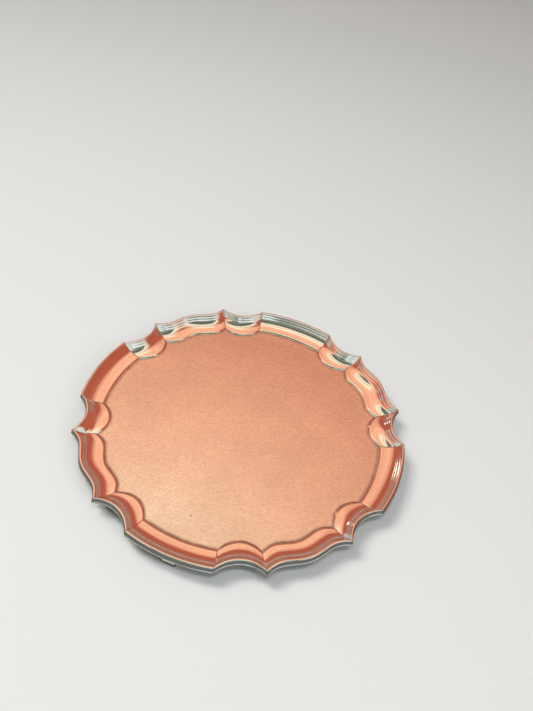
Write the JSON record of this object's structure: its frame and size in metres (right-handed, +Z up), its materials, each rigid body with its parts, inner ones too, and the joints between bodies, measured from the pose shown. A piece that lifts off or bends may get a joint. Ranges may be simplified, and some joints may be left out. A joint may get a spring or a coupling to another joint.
{
  "type": "silver salver",
  "caption": "Round silver salver: a flat plate with a raised, mitred pie-crust border of arcs, scallops and brackets, on cast scroll feet.",
  "frame": {"origin": "on the table plane, under the middle of the salver", "axes": "+Z up, the salver's own axis; the feet and the convex arcs of the border stand on +X, +Y, -X and -Y, the bracket curves on the diagonals"},
  "size_m": [0.254, 0.254, 0.019],
  "materials": {
    "worn_silver": "satin, fine wear marks",
    "polished_silver": "polished, soft wear",
    "cast_silver": "cast, softly polished"
  },
  "bodies": {
    "root": {"field_plate": "worn_silver", "border_arc_right": "polished_silver", "border_scallop_right_back": "polished_silver", "border_bracket_right_back": "polished_silver", "border_scallop_right_front": "polished_silver", "border_arc_back": "polished_silver", "border_scallop_back_left": "polished_silver", "border_bracket_back_left": "polished_silver", "border_scallop_back_right": "polished_silver", "border_arc_left": "polished_silver", "border_scallop_left_front": "polished_silver", "border_bracket_left_front": "polished_silver", "border_scallop_left_back": "polished_silver", "border_arc_front": "polished_silver", "border_scallop_front_right": "polished_silver", "border_bracket_front_right": "polished_silver", "border_scallop_front_left": "polished_silver", "foot_right": "cast_silver", "foot_back": "cast_silver", "foot_left": "cast_silver", "foot_front": "cast_silver"}
  },
  "joints": []
}
